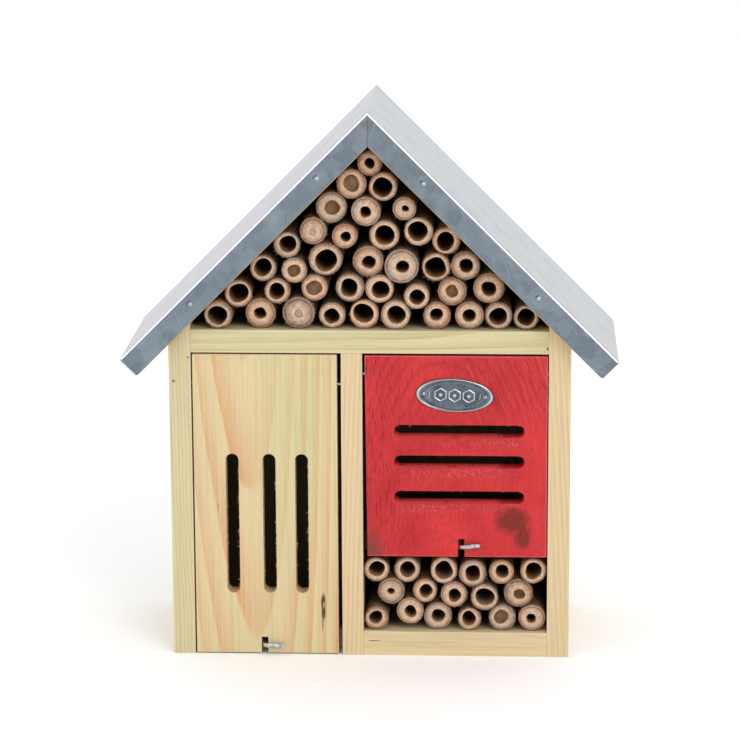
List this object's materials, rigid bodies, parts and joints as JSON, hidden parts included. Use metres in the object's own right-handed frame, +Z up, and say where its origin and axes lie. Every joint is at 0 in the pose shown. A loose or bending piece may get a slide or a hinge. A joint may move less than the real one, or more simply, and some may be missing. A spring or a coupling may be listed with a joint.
{
  "type": "insect hotel",
  "caption": "Small gabled timber house for solitary insects, with bamboo canes, a folded metal roof and slotted drop doors locked by turn hooks.",
  "frame": {"origin": "middle of the object's outer box, on the surface that it stands on", "axes": "+Z up to the ridge, +Y from the doors to the back panel, +X to the viewer's right"},
  "size_m": [0.2466, 0.1014, 0.278],
  "materials": {
    "frame_pine": "pressure-treated pine, planed, faintly green",
    "door_pine": "clear planed pine with cathedral grain",
    "red_stain": "pine with thin red stain, worn at the edges",
    "plywood": "thin plywood, sanded",
    "roof_pine": "sawn pine",
    "bamboo": "dry cane, sawn ends",
    "galvanised_sheet": "galvanised, faint spangle",
    "plate_metal": "dark polished pressing",
    "zinc_wire": "bright zinc plated",
    "zinc_plate": "zinc plated",
    "nail_steel": "bright steel"
  },
  "bodies": {
    "house": {"back_panel": "plywood", "back_panel_nails": "nail_steel", "divider": "frame_pine", "divider_nails": "nail_steel", "front_sheet_nails": "nail_steel", "gable_canes_course_1": "bamboo", "gable_canes_course_2": "bamboo", "gable_canes_course_3": "bamboo", "gable_canes_course_4": "bamboo", "gable_canes_course_5": "bamboo", "hanger_plate": "zinc_plate", "hanger_screws": "nail_steel", "left_door_pivot_nails": "nail_steel", "left_floor": "frame_pine", "left_roof_board": "roof_pine", "left_wall": "frame_pine", "lintel": "frame_pine", "lower_canes_left": "bamboo", "lower_canes_middle": "bamboo", "lower_canes_right": "bamboo", "rear_sheet_nails": "nail_steel", "red_door_pivot_nails": "nail_steel", "red_door_shelf": "frame_pine", "right_floor": "frame_pine", "right_roof_board": "roof_pine", "right_wall": "frame_pine", "roof_board_nails": "nail_steel", "roof_sheet": "galvanised_sheet", "wall_nails": "nail_steel"},
    "left_door": {"left_door": "door_pine"},
    "red_door": {"red_door": "red_stain", "door_plate": "plate_metal", "door_plate_pins": "plate_metal"},
    "left_hook": {"left_hook": "zinc_wire"},
    "red_hook": {"red_hook": "zinc_wire"}
  },
  "joints": [
    {"name": "left_door_swing", "type": "hinge", "parent": "house", "child": "left_door", "pos_m": [-0.05225, -0.038, 0.1401], "axis": [-1, 0, 0], "range_deg": [0, 145]},
    {"name": "red_door_swing", "type": "hinge", "parent": "house", "child": "red_door", "pos_m": [0.04305, -0.038, 0.1456], "axis": [-1, 0, 0], "range_deg": [0, 130]},
    {"name": "left_hook_turn", "type": "hinge", "parent": "house", "child": "left_hook", "pos_m": [-0.0536, -0.0319, 0.00525], "axis": [0, -1, 0], "range_deg": [-90, 90]},
    {"name": "red_hook_turn", "type": "hinge", "parent": "house", "child": "red_hook", "pos_m": [0.0458, -0.0319, 0.0577], "axis": [0, -1, 0], "range_deg": [-97, 83]}
  ]
}
